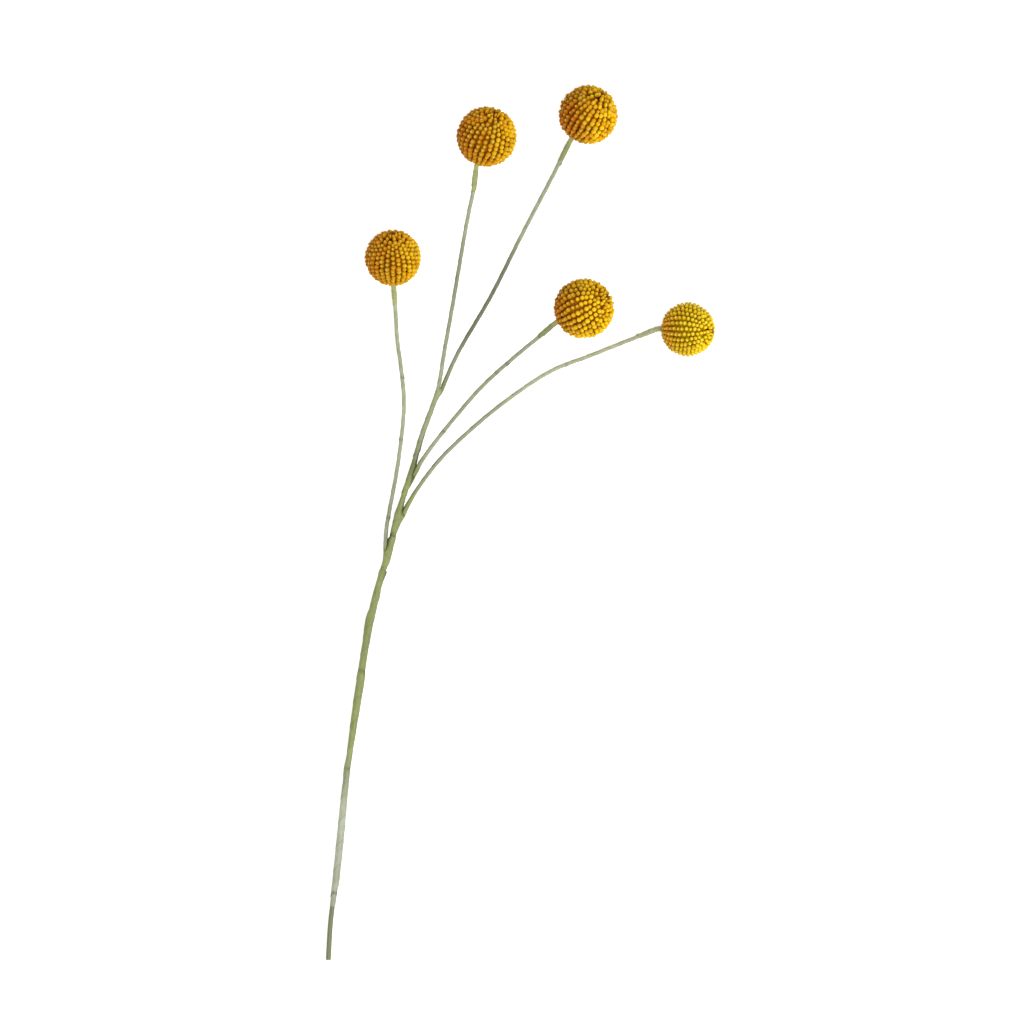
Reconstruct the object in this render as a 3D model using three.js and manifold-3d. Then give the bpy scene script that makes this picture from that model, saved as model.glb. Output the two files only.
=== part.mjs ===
// A billy buttons spray, lying on its side: five round yellow flower heads on stalks that are taped,
// one above the other, to a slender stem rod. Each head is a ball, the receptacle, under a coat of
// florets in rows from pole to pole, and a short green neck covers the place where its stalk goes in.
//
// Millimetres. +X runs across the spray, +Y along the stem towards the heads and +Z up from the
// surface it lies on. The origin is on that surface, under the middle of the spray. The spray rests
// on the cut end of its rod and on heads 1, 3 and 5; heads 2 and 4 stand clear of the surface.
import * as THREE from "three";
import Module from "manifold-3d";

const wasm = await Module();
wasm.setup();

const UP = new THREE.Vector3(0, 0, 1);
const GAP = 0.3; // clearance between pieces that touch
const TAPE = 0.35; // thickness of the wound tape where it covers a stalk
const SIDES = 8; // sides of the ring that stands for a stem's round section

// How many lengths or bands each piece is divided into.
const STEPS = { rod: 30, footWrap: 20, jointWrap: 6, cuff: 6, stalk: 12, neck: 6, outside: 8, inside: 5 };

// The rod: its centre line from the cut end to the fork, and its radius at each end.
const STEM = [
  [-126, -287.2, 1.5],
  [-121.5, -234, 4],
  [-113, -155, 6.5],
  [-101, -77, 9],
  [-81, 2, 11.5],
  [-69, 41.5, 13],
  [-52, 91, 14.5],
];
const ROD_FOOT_R = 1.5;
const ROD_TOP_R = 1.05;
const LEADER_LAP = 12; // how far below the fork the rod stops and stalk 2 carries on from it

// The tape on the rod, in five lengths. Each is named for the stalk that it holds, and runs between
// two distances from the cut end.
const FOOT_WRAP = { from: 37, to: 256, radius: 2.15 };
const JOINT_WRAPS = {
  1: { from: 256, to: 283, radius: 2.1 },
  5: { from: 283, to: 310, radius: 2.1 },
  4: { from: 310, to: 335, radius: 2.05 },
  3: { from: 335, to: 386, radius: 1.75 },
};

// A stalk is thin where it is bound to the rod and full size from where it leaves it.
const STALK_R = 1.2;
const STALK_TIP_R = 0.6;
const TUCK = 17; // length bound beside the rod
const CUFF = 21; // length of the tape that covers it, at most

// A head, from its outside in.
const FLORET_ROWS = 28;
const FLORET_DEPTH = 3.4;
const ROW_GROOVE = 0.9; // how deep the groove between two rows is at the widest part of the head
const SOCKET_DEPTH = 5.3; // how far the stalk goes into the receptacle
const NECK_LENGTH = 13;
const NECK_TOP_R = 2;
const NECK_FOOT_R = 1.8;
const NECK_STRAIGHT = 5; // length outside the head over which a stalk already points along its axis
const RECEPTACLE_SIDES = 12;

// Each branch: which side of the rod its stalk is bound to and how far from the cut end, the points
// that it passes, and its head. A head's heading is the way it faces, turned from +X towards +Y, and
// its rise is how far that is tipped up.
const BRANCHES = {
  1: {
    side: -1,
    boundAt: 259,
    path: [[-87, 2, 10.5], [-80, 41.5, 8.5], [-76.6, 78, 6.5], [-78.5, 101, 5], [-82, 140, 3.4]],
    head: { x: -83.3, y: 174.1, radius: 18.3, clearance: 0, heading: 91, rise: 30 },
  },
  2: {
    side: 0,
    path: [[-50.2, 112, 15], [-45, 141, 15.5], [-35, 199, 15.5], [-31, 219, 16.5]],
    head: { x: -21.8, y: 253.2, radius: 19.6, clearance: 12, heading: 68, rise: 30 },
  },
  3: {
    side: 1,
    boundAt: 364,
    path: [[-42, 110, 14.5], [-19, 150, 12], [1, 189, 8.5], [21, 228.5, 5]],
    head: { x: 44.7, y: 268, radius: 19.1, clearance: 0, heading: 55, rise: 28 },
  },
  4: {
    side: 1,
    boundAt: 311,
    path: [[-58, 51.3, 14.5], [-42.3, 71, 17], [-25, 90.7, 20], [-3, 110.3, 23.5], [12, 123, 26]],
    head: { x: 41.9, y: 140.5, radius: 19.4, clearance: 18, heading: 28, rise: 25 },
  },
  5: {
    side: 1,
    boundAt: 286,
    path: [
      [-68.4, 21.8, 11.5], [-53.5, 41.5, 10.5], [-33.5, 61, 9.5],
      [-9.3, 81, 8.5], [20.5, 100.5, 7], [46, 110.8, 5.5], [75, 122, 4.2],
    ],
    head: { x: 110.2, y: 127.1, radius: 17.4, clearance: 0, heading: 2, rise: 25 },
  },
};

const COLOURS = {
  rod: { color: 0x7e8768, roughness: 0.55, metalness: 0 },
  tape: { color: 0x8d965c, roughness: 0.75, metalness: 0 },
  stalk: { color: 0x9aa182, roughness: 0.7, metalness: 0 },
  neck: { color: 0x86905a, roughness: 0.7, metalness: 0 },
  receptacle: { color: 0x5a4a1c, roughness: 0.9, metalness: 0 },
  florets: { color: 0xe0ad3a, roughness: 0.8, metalness: 0 },
};

const spray = new THREE.Group();

function addPiece(parent, name, geometry, look) {
  geometry.computeVertexNormals();
  const mesh = new THREE.Mesh(geometry, new THREE.MeshStandardMaterial(COLOURS[look]));
  mesh.name = name;
  parent.add(mesh);
}

// Geometry from a row of rings with equally many points. The first and last ring are capped, or, in a
// looped skin, joined to each other.
function skinOver(rings, looped) {
  const sides = rings[0].length;
  const faces = [];
  const spans = looped ? rings.length : rings.length - 1;
  for (let i = 0; i < spans; i++) {
    const here = i * sides;
    const next = ((i + 1) % rings.length) * sides;
    for (let j = 0; j < sides; j++) {
      const k = (j + 1) % sides;
      faces.push(here + j, next + j, next + k);
      faces.push(here + j, next + k, here + k);
    }
  }
  const last = (rings.length - 1) * sides;
  for (let j = 1; !looped && j < sides - 1; j++) {
    faces.push(0, j, j + 1);
    faces.push(last, last + j + 1, last + j);
  }
  return new THREE.BufferGeometry().setFromPoints(rings.flat()).setIndex(faces);
}

// The place on a curve at a distance from its start, with the directions ahead, to the right and
// upwards there. Past either end the curve goes on straight.
function stationOn(curve, distance) {
  const length = curve.getLength();
  const u = THREE.MathUtils.clamp(distance / length, 0, 1);
  const ahead = curve.getTangentAt(u);
  const centre = curve.getPointAt(u).addScaledVector(ahead, distance - u * length);
  const right = new THREE.Vector3().crossVectors(ahead, UP).normalize();
  const above = new THREE.Vector3().crossVectors(right, ahead);
  return { centre, right, above };
}

function ringAt(curve, distance, radius) {
  const { centre, right, above } = stationOn(curve, distance);
  const ring = [];
  for (let j = 0; j < SIDES; j++) {
    const angle = (2 * Math.PI * j) / SIDES;
    ring.push(
      centre
        .clone()
        .addScaledVector(right, radius * Math.cos(angle))
        .addScaledVector(above, radius * Math.sin(angle)),
    );
  }
  return ring;
}

// Rings along a curve between two distances. radiusAt takes the distance and gives the radius.
function ringsAlong(curve, from, to, radiusAt, steps) {
  const rings = [];
  for (let i = 0; i <= steps; i++) {
    const distance = THREE.MathUtils.lerp(from, to, i / steps);
    rings.push(ringAt(curve, distance, radiusAt(distance)));
  }
  return rings;
}

function tubeAlong(curve, from, to, outerAt, boreAt, steps) {
  const outside = ringsAlong(curve, from, to, outerAt, steps);
  const bore = ringsAlong(curve, from, to, boreAt, steps);
  return skinOver([...outside, ...bore.reverse()], true);
}

function solidFrom(rings) {
  const geometry = skinOver(rings, false);
  const mesh = new wasm.Mesh({
    numProp: 3,
    vertProperties: geometry.attributes.position.array,
    triVerts: new Uint32Array(geometry.index.array),
  });
  return new wasm.Manifold(mesh);
}

function geometryOf(solid) {
  const mesh = solid.getMesh();
  return new THREE.BufferGeometry()
    .setAttribute("position", new THREE.BufferAttribute(mesh.vertProperties, 3))
    .setIndex([...mesh.triVerts]);
}

const curveThrough = (points) => new THREE.CatmullRomCurve3(points, false, "centripetal");

// The rod, and the curve that the tape and the stalks are placed along.
const stemLine = curveThrough(STEM.map((point) => new THREE.Vector3(...point)));
const rodEnd = stemLine.getLength() - LEADER_LAP;
const rodRadius = (distance) => THREE.MathUtils.mapLinear(distance, 0, rodEnd, ROD_FOOT_R, ROD_TOP_R);
const rodBore = (distance) => rodRadius(distance) + GAP;

function addRod() {
  const rings = ringsAlong(stemLine, 0, rodEnd, rodRadius, STEPS.rod);
  addPiece(spray, "stem_rod", skinOver(rings, false), "rod");
}

function addFootWrap() {
  const { from, to, radius } = FOOT_WRAP;
  const sleeve = tubeAlong(stemLine, from, to - GAP, () => radius, rodBore, STEPS.footWrap);
  addPiece(spray, "wrap_foot", sleeve, "tape");
}

const coreRadius = (distance) => (distance > rodEnd ? STALK_R : rodRadius(distance));

function stalkRadius(branch, distance) {
  if (branch.side === 0) {
    return STALK_R;
  }
  return THREE.MathUtils.lerp(STALK_TIP_R, STALK_R, THREE.MathUtils.clamp(distance / TUCK, 0, 1));
}

// The first points of a stalk: beside the rod, or, for the leader, straight on from the rod's end.
function boundPoints(branch) {
  const { side, boundAt } = branch;
  if (side === 0) {
    return [rodEnd + GAP, stemLine.getLength()].map((distance) => stationOn(stemLine, distance).centre);
  }
  return [0, TUCK / 2, TUCK].map((along) => {
    const { centre, right } = stationOn(stemLine, boundAt + along);
    const away = coreRadius(boundAt + along) + GAP + stalkRadius(branch, along);
    return centre.addScaledVector(right, side * away);
  });
}

function faceOf({ heading, rise }) {
  const turn = THREE.MathUtils.degToRad(heading);
  const tip = THREE.MathUtils.degToRad(rise);
  return new THREE.Vector3(Math.cos(tip) * Math.cos(turn), Math.cos(tip) * Math.sin(turn), Math.sin(tip));
}

const centreOf = ({ x, y, radius, clearance }) => new THREE.Vector3(x, y, radius + clearance);
const receptacleRadius = (head) => head.radius - FLORET_DEPTH - GAP;

// A stalk's centre line, from where it is bound to the bottom of its socket in the receptacle.
function stalkLine(branch) {
  const { head, path } = branch;
  const onAxis = (fromCentre) => centreOf(head).addScaledVector(faceOf(head), -fromCentre);
  const free = path.map((point) => new THREE.Vector3(...point));
  const inNeck = [onAxis(head.radius + NECK_STRAIGHT), onAxis(head.radius - FLORET_DEPTH / 2)];
  const end = onAxis(receptacleRadius(head) - SOCKET_DEPTH);
  return curveThrough([...boundPoints(branch), ...free, ...inNeck, end]);
}

// Where the neck on a stalk starts, and where it ends on the receptacle inside the coat of florets.
function neckSpan(line) {
  const top = line.getLength() - SOCKET_DEPTH - GAP;
  return { foot: top - FLORET_DEPTH - NECK_LENGTH, top };
}

// Inside its cuff and its neck a stalk has its rings where their bores have them, so that the
// clearance is even.
function addStalk(number, branch, line) {
  const { foot, top } = neckSpan(line);
  const radiusAt = (distance) => stalkRadius(branch, distance);
  const inCuff = ringsAlong(line, 0, CUFF, radiusAt, STEPS.cuff);
  const free = ringsAlong(line, CUFF, foot, radiusAt, STEPS.stalk).slice(1);
  const inNeck = ringsAlong(line, foot, top, radiusAt, STEPS.neck).slice(1);
  const tip = ringAt(line, line.getLength(), STALK_R);
  addPiece(spray, `stalk_${number}`, skinOver([...inCuff, ...free, ...inNeck, tip], false), "stalk");
}

// The length of tape that binds a stalk: a sleeve on the rod joined to a short cuff on the stalk, and
// bored for both. Above the rod's end the sleeve is bored for the leader.
function addJointWrap(number, branch, line, leaderLine) {
  const { from, to, radius } = JOINT_WRAPS[number];
  const past = 3; // how far the bores run past the tape
  const end = to - GAP;
  const holeEnd = Math.min(to + past, rodEnd + GAP);
  const cuffEnd = Math.min(CUFF, end - branch.boundAt);
  const cuffRadius = (distance) => stalkRadius(branch, distance) + GAP + TAPE;
  const stalkBore = (distance) => stalkRadius(branch, distance) + GAP;
  const sleeve = solidFrom(ringsAlong(stemLine, from, end, () => radius, STEPS.jointWrap));
  const cuff = solidFrom(ringsAlong(line, -GAP - TAPE, cuffEnd, cuffRadius, STEPS.cuff));
  const rodHole = solidFrom(ringsAlong(stemLine, from - past, holeEnd, rodBore, STEPS.jointWrap));
  const boreRing = (distance) => ringAt(line, distance, stalkBore(distance));
  const boreRings = ringsAlong(line, 0, CUFF, stalkBore, STEPS.cuff);
  const stalkHole = solidFrom([boreRing(-GAP), ...boreRings, boreRing(CUFF + past)]);
  let wrap = sleeve.add(cuff).subtract(rodHole).subtract(stalkHole);
  if (to > rodEnd) {
    const leaderHole = ringsAlong(leaderLine, -GAP, LEADER_LAP + past, () => STALK_R + GAP, STEPS.cuff);
    wrap = wrap.subtract(solidFrom(leaderHole));
  }
  addPiece(spray, `wrap_joint_${number}`, geometryOf(wrap), "tape");
}

function addNeck(number, line) {
  const { foot, top } = neckSpan(line);
  const outerAt = (distance) => THREE.MathUtils.mapLinear(distance, foot, top, NECK_FOOT_R, NECK_TOP_R);
  const neck = tubeAlong(line, foot, top, outerAt, () => STALK_R + GAP, STEPS.neck);
  addPiece(spray, `neck_${number}`, neck, "neck");
}

// Points on a round arc about the origin, from one angle to another, both measured from +Y.
const arcPoint = (radius, angle) => new THREE.Vector2(radius * Math.sin(angle), radius * Math.cos(angle));

function arcPoints(radius, fromAngle, toAngle, steps) {
  const points = [];
  for (let i = 0; i <= steps; i++) {
    points.push(arcPoint(radius, THREE.MathUtils.lerp(fromAngle, toAngle, i / steps)));
  }
  return points;
}

// The angle from the far pole at which a ball's surface meets a round opening about the stalk.
const openingAngle = (ballRadius, openingRadius) => Math.PI - Math.asin(openingRadius / ballRadius);

// The ball that the florets stand on, turned about +Y, with a blind socket for the stalk from below.
// It is divided like the inside of its coat, so that the clearance between them is even.
function receptacleGeometry(head) {
  const radius = receptacleRadius(head);
  const socket = STALK_R + GAP;
  const coatOpening = openingAngle(head.radius - FLORET_DEPTH, NECK_TOP_R + GAP);
  const mouth = openingAngle(radius, socket);
  const roof = -(radius - SOCKET_DEPTH - GAP);
  const profile = [
    ...arcPoints(radius, 0, coatOpening, STEPS.inside),
    arcPoint(radius, mouth),
    new THREE.Vector2(socket, roof),
    new THREE.Vector2(0, roof),
  ];
  return new THREE.LatheGeometry(profile.reverse(), RECEPTACLE_SIDES);
}

// The coat of florets: a hollow ball with an opening below for the neck. Every second meridian of its
// outside is pressed in, so that ridges and grooves run from pole to pole.
function floretsGeometry(head) {
  const opening = NECK_TOP_R + GAP;
  const inner = head.radius - FLORET_DEPTH;
  const outside = arcPoints(head.radius, 0, openingAngle(head.radius, opening), STEPS.outside);
  const inside = arcPoints(inner, openingAngle(inner, opening), 0, STEPS.inside);
  const profile = [...outside, ...inside].reverse();
  const geometry = new THREE.LatheGeometry(profile, 2 * FLORET_ROWS);
  const place = geometry.attributes.position;
  const point = new THREE.Vector3();
  for (let i = 0; i < place.count; i++) {
    point.fromBufferAttribute(place, i);
    const meridian = Math.floor(i / profile.length);
    const onOutside = i % profile.length >= inside.length;
    if (onOutside && meridian % 2 === 1) {
      const fromAxis = Math.hypot(point.x, point.z);
      point.multiplyScalar(1 - (ROW_GROOVE * fromAxis) / head.radius ** 2);
      place.setXYZ(i, point.x, point.y, point.z);
    }
  }
  return geometry;
}

function addHead(number, head) {
  const group = new THREE.Group();
  group.position.copy(centreOf(head));
  group.quaternion.setFromUnitVectors(new THREE.Vector3(0, 1, 0), faceOf(head));
  addPiece(group, `receptacle_${number}`, receptacleGeometry(head), "receptacle");
  addPiece(group, `florets_${number}`, floretsGeometry(head), "florets");
  spray.add(group);
}

addRod();
addFootWrap();
const leaderLine = stalkLine(BRANCHES[2]);
for (const [number, branch] of Object.entries(BRANCHES)) {
  const line = stalkLine(branch);
  addStalk(number, branch, line);
  if (JOINT_WRAPS[number]) {
    addJointWrap(number, branch, line, leaderLine);
  }
  addNeck(number, line);
  addHead(number, branch.head);
}

export default spray;
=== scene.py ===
import math
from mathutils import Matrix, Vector, noise

import bmesh
import bpy
import numpy as np


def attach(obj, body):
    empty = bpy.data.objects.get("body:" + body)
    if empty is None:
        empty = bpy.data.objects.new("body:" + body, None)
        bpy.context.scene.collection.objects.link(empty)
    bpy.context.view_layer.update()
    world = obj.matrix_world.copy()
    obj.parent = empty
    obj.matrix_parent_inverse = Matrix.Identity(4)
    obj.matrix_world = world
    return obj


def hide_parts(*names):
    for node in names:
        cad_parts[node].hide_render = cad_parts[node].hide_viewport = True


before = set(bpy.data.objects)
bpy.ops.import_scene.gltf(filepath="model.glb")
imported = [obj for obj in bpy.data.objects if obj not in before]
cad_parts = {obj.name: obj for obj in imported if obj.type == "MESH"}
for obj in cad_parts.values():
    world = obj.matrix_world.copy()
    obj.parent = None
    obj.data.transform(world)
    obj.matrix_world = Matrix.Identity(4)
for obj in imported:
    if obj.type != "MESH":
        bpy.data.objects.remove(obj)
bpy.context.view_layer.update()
scene = bpy.context.scene
MM = 0.001


# The stem rod: one length of steel wire in a moulded grey-green coat. It is drawn a little thinner
# towards its upper end and cut square at its foot, where the wire shows as a grey spot in the coat.
# Its lowest 36 mm carry no tape, and the coat is a little thicker there.
STEM = [(-126, -287.2, 1.7), (-124.45, -262, 2.7), (-120.9, -234, 4), (-116.8, -194, 5.3),
        (-114.9, -174.5, 5.9), (-112.4, -155, 6.5), (-106.85, -116, 7.8), (-100.8, -77, 9),
        (-93.85, -45, 10.1), (-84.6, -14, 11.1), (-81, 2, 11.5), (-69, 41.5, 13), (-64.1, 58.5, 13.5),
        (-55.9, 80.9, 14.2), (-53.2, 91, 14.5)]
ROD_STUB_R, ROD_FOOT_R, ROD_TOP_R = 1.7, 1.5, 1.05
STUB_THINS = (33, 40)  # where along the rod the stub's thicker coat thins out
LEADER_LAP = 12.0  # the tuck of the leader, by which the rod ends short of the stem line
CUT_BEVEL = 0.12
WIRE_R, WIRE_EDGE = 0.75, 0.08
SHARP_CORNER = math.radians(40)


def smooth_line(corners, spacing=1.0, steps=80):
    """Points a spacing apart on the smooth line through the corners, in millimetres."""
    corners = [np.array(corner, float) for corner in corners]
    ends = [2 * corners[0] - corners[1], *corners, 2 * corners[-1] - corners[-2]]
    share = np.linspace(0, 1, steps, endpoint=False)[:, None]
    spans = []
    for before, start, stop, after in zip(ends, ends[1:], ends[2:], ends[3:]):
        legs = ((before, start), (start, stop), (stop, after))
        first, own, last = [math.sqrt(np.linalg.norm(b - a)) for a, b in legs]
        leave = (start - before) / first - (stop - before) / (first + own) + (stop - start) / own
        arrive = (stop - start) / own - (after - start) / (own + last) + (after - stop) / last
        leave, arrive = leave * own, arrive * own
        bend = 3 * (stop - start) - 2 * leave - arrive
        turn = 2 * (start - stop) + leave + arrive
        spans.append(start + leave * share + bend * share**2 + turn * share**3)
    close = np.vstack([*spans, corners[-1]])
    run = np.concatenate([[0], np.cumsum(np.linalg.norm(np.diff(close, axis=0), axis=1))])
    even = np.linspace(0, run[-1], int(run[-1] / spacing) + 1)
    return np.column_stack([np.interp(even, run, close[:, axis]) for axis in range(3)])


def length_of(line):
    return float(np.linalg.norm(np.diff(line, axis=0), axis=1).sum())


def station(line, distance):
    """The place on a line at a distance from its start, and the direction to the right of it there."""
    run = np.linspace(0, length_of(line), len(line))
    place = np.array([np.interp(distance, run, line[:, axis]) for axis in range(3)])
    spot = min(max(int(round(distance / run[1])), 1), len(line) - 2)
    ahead = line[spot + 1] - line[spot - 1]
    right = np.cross(ahead, (0, 0, 1))
    return place, right / np.linalg.norm(right)


def along(table, distance):
    """The value at a distance in a table of (distance, value) pairs."""
    marks, values = zip(*table)
    return float(np.interp(distance, marks, values))


def spots(distances, reach, amounts):
    """A table that is 0 but for a peak at each distance, reach wide either way, its amounts by turns."""
    table = [(0, 0)]
    for turn, distance in enumerate(sorted(distances)):
        peak = amounts[turn % len(amounts)]
        table += [(distance - reach, 0), (distance, peak), (distance + reach, 0)]
    return table


def mark_points(mesh, name, values):
    """Keeps a number or a vector for each point of a mesh under a name, for a tree or a finish to read."""
    values = np.array(values, float)
    kind, label = ("FLOAT_VECTOR", "vector") if values.ndim > 1 else ("FLOAT", "value")
    mesh.attributes.new(name, kind, "POINT").data.foreach_set(label, values.ravel())


def route(name, line, start, stop, girth, lean=((0, 0),), shade_and_marks=((0, 0),), side_shade=((0, 0),), edge=0.75):
    """A chain of edges from start to stop on a line. By tables of (distance, value), each point carries
    its radius (girth), its bulge to the right (lean, or to the left below 0), how dark it is painted all
    round (painted shade and dark spots, 0 to 1) and how dark on its right side (painted shade in
    creases and on shaded sides, or on its left below 0)."""
    distances = np.linspace(start, stop, int((stop - start) / edge) + 2)
    places, rights = zip(*[station(line, distance) for distance in distances])
    mesh = bpy.data.meshes.new(name)
    mesh.from_pydata([place * MM for place in places], [(i, i + 1) for i in range(len(places) - 1)], [])
    mark_points(mesh, "girth", [along(girth, distance) * MM for distance in distances])
    mark_points(mesh, "shade_and_spots", [along(shade_and_marks, distance) for distance in distances])
    for mark, table, unit in (("lean", lean, MM), ("side_shade", side_shade, 1.0)):
        sideways = [right * along(table, distance) * unit for right, distance in zip(rights, distances)]
        mark_points(mesh, mark, sideways)
    return mesh


def add_node(tree, kind, inputs=None, **settings):
    """Adds a node. Each input is a plain value, or the output of the node that feeds it."""
    node = tree.nodes.new(kind)
    for name, value in settings.items():
        setattr(node, name, value)
    for name, value in (inputs or {}).items():
        if isinstance(value, bpy.types.NodeSocket):
            tree.links.new(value, node.inputs[name])
        else:
            node.inputs[name].default_value = value
    return node


def reckon(tree, operation, *values):
    """One step of arithmetic on numbers."""
    return add_node(tree, "ShaderNodeMath", dict(enumerate(values)), operation=operation).outputs[0]


def chain(operation):
    """A way to take numbers through one step of arithmetic, one after another."""
    def run(tree, value, *others):
        for other in others:
            value = reckon(tree, operation, value, other)
        return value
    return run


total, product, less, ratio = chain("ADD"), chain("MULTIPLY"), chain("SUBTRACT"), chain("DIVIDE")


def reckon_vector(tree, operation, first, second=None):
    """One step of arithmetic on vectors. DOT_PRODUCT and LENGTH give a number."""
    inputs = {0: first}
    if second is not None:
        inputs["Scale" if operation == "SCALE" else 1] = second
    node = add_node(tree, "ShaderNodeVectorMath", inputs, operation=operation)
    return node.outputs["Value" if operation in ("DOT_PRODUCT", "LENGTH") else "Vector"]


def joined(tree, *parts):
    """The vector of an x, a y and a z. Those left out are 0."""
    return add_node(tree, "ShaderNodeCombineXYZ", dict(enumerate(parts))).outputs[0]


def split(tree, vector):
    return add_node(tree, "ShaderNodeSeparateXYZ", {0: vector}).outputs


def here(tree):
    """The place of each point."""
    return add_node(tree, "GeometryNodeInputPosition").outputs[0]


def treat(tree, step, geometry, inputs=None, **settings):
    """Takes geometry through one step, and gives what comes out."""
    inputs = {"Geometry": geometry} | (inputs or {})
    return add_node(tree, "GeometryNode" + step, inputs, **settings).outputs[0]


def new_tree(name, inputs, outputs):
    """An empty geometry tree with inputs and outputs, listed by kind. Returns it with their sockets."""
    tree = bpy.data.node_groups.new(name, "GeometryNodeTree")
    for side, kinds in (("INPUT", inputs), ("OUTPUT", outputs)):
        for kind, labels in kinds.items():
            for label in labels:
                tree.interface.new_socket(label, in_out=side, socket_type="NodeSocket" + kind)
    return tree, tree.nodes.new("NodeGroupInput").outputs, tree.nodes.new("NodeGroupOutput").inputs


def new_object(name, data):
    """Puts a new object in the scene."""
    made = bpy.data.objects.new(name, data)
    scene.collection.objects.link(made)
    return made


def grow(tree, name, mesh, inputs):
    """Runs a tree on a mesh and keeps what it makes as a plain mesh piece at the origin."""
    maker = new_object(name + "_maker", mesh)
    modifier = maker.modifiers.new(tree.name, "NODES")
    modifier.node_group = tree
    for socket in tree.interface.items_tree:
        if socket.name in inputs:
            modifier[socket.identifier] = inputs[socket.name]
    made = bpy.data.meshes.new_from_object(maker.evaluated_get(bpy.context.evaluated_depsgraph_get()))
    bpy.data.objects.remove(maker)
    made.name = name
    return new_object(name, made)


def spot_on_route():
    """A point beside a route: so far along it, so far round it from its right, so far off its skin."""
    tree, given, result = new_tree(
        "spot on route", {"Geometry": ["Route"], "Float": ["Distance", "Angle", "Stand-off"]},
        {"Vector": ["Place"], "Float": ["Smudge"]})
    grip = 3.0  # how closely a bulge or a patch of painted shade keeps to its own side
    hardly_any = 1e-7

    def read(name, kind):
        attribute = add_node(tree, "GeometryNodeInputNamedAttribute", {"Name": name}, data_type=kind)
        return add_node(
            tree, "GeometryNodeSampleCurve",
            {"Curves": given["Route"], "Value": attribute.outputs["Attribute"], "Length": given["Distance"]},
            mode="LENGTH", data_type=kind).outputs

    sample = read("girth", "FLOAT")
    ahead = sample["Tangent"]
    right = reckon_vector(tree, "NORMALIZE", reckon_vector(tree, "CROSS_PRODUCT", ahead, (0, 0, 1)))
    below = reckon_vector(tree, "CROSS_PRODUCT", ahead, right)
    sideways = reckon_vector(tree, "SCALE", right, reckon(tree, "COSINE", given["Angle"]))
    downwards = reckon_vector(tree, "SCALE", below, reckon(tree, "SINE", given["Angle"]))
    outwards = reckon_vector(tree, "ADD", sideways, downwards)

    def on_one_side(way):
        """The whole length of a sideways vector where it points, and little of it beside that."""
        size = reckon(tree, "MAXIMUM", reckon_vector(tree, "LENGTH", way), hardly_any)
        facing = ratio(tree, reckon_vector(tree, "DOT_PRODUCT", outwards, way), size)
        return product(tree, reckon(tree, "POWER", reckon(tree, "MAXIMUM", facing, 0.0), grip), size)

    # Two wires under one tape: the skin stands out towards the second wire and narrows round it.
    bulge = on_one_side(read("lean", "FLOAT_VECTOR")["Value"])
    radius = total(tree, sample["Value"], bulge, given["Stand-off"])
    off_line = reckon_vector(tree, "SCALE", outwards, radius)
    tree.links.new(reckon_vector(tree, "ADD", sample["Position"], off_line), result["Place"])
    # Painted shade in creases and on shaded sides, kept to one side by the same rule as the bulge.
    crease = on_one_side(read("side_shade", "FLOAT_VECTOR")["Value"])
    tree.links.new(total(tree, read("shade_and_spots", "FLOAT")["Value"], crease), result["Smudge"])
    return tree


SPOT_ON_ROUTE = spot_on_route()


def route_curve(tree, chain):
    """A route as a curve, and its length."""
    curve = add_node(tree, "GeometryNodeMeshToCurve", {"Mesh": chain}).outputs["Curve"]
    return curve, add_node(tree, "GeometryNodeCurveLength", {"Curve": curve}).outputs["Length"]


def blank_tube(tree, sides, rings):
    """A closed upright tube, 1 in radius and 1 in height, and the x, y and z of its points."""
    tube = add_node(tree, "GeometryNodeMeshCylinder",
                    {"Vertices": sides, "Side Segments": rings, "Radius": 1.0, "Depth": 1.0})
    return tube.outputs["Mesh"], split(tree, here(tree))


def lay_on_route(tree, mesh, curve, distance, angle, stand_off, across):
    """Puts a blank's points in their places by a route, with the marks that the finishes read."""
    spot = add_node(tree, "GeometryNodeGroup",
                    {"Route": curve, "Distance": distance, "Angle": angle, "Stand-off": stand_off},
                    node_tree=SPOT_ON_ROUTE).outputs
    for name, value in (("run", distance), ("shade_and_spots", spot["Smudge"]), ("across", across)):
        mesh = treat(tree, "StoreNamedAttribute", mesh, {"Name": name, "Value": value})
    return treat(tree, "SetPosition", mesh, {"Position": spot["Place"]})


def finish_off(tree, mesh, finish):
    """Leaves the corners sharp, makes every instance real and puts the finish on."""
    bent = add_node(tree, "GeometryNodeInputMeshEdgeAngle").outputs["Unsigned Angle"]
    sharp = reckon(tree, "GREATER_THAN", bent, SHARP_CORNER)
    mesh = treat(tree, "SetShadeSmooth", mesh, {"Selection": sharp, "Shade Smooth": False}, domain="EDGE")
    mesh = treat(tree, "RealizeInstances", mesh)
    return treat(tree, "SetMaterial", mesh, {"Material": finish})


def drawn_wire():
    """A closed round skin along a route, with flat ends."""
    tree, given, result = new_tree(
        "drawn wire",
        {"Geometry": ["Route"], "Int": ["Sides"], "Float": ["Ring Spacing"], "Material": ["Finish"]},
        {"Geometry": ["Piece"]})
    curve, length = route_curve(tree, given["Route"])
    rings = reckon(tree, "CEIL", ratio(tree, length, given["Ring Spacing"]))
    tube, (x, y, z) = blank_tube(tree, given["Sides"], rings)
    distance = product(tree, total(tree, z, 0.5), length)
    # Inside a taped piece this is the core, where every point counts as half way across the tape.
    mesh = lay_on_route(tree, tube, curve, distance, reckon(tree, "ARCTAN2", y, x), 0.0, 0.5)
    tree.links.new(finish_off(tree, mesh, given["Finish"]), result["Piece"])
    return tree


DRAWN_WIRE = drawn_wire()


def paint(red, green, blue):
    """A colour given in the usual 0 to 255 steps, as the shader wants it."""
    steps = [part / 255 for part in (red, green, blue)]
    return (*[s / 12.92 if s <= 0.04045 else ((s + 0.055) / 1.055) ** 2.4 for s in steps], 1.0)


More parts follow.
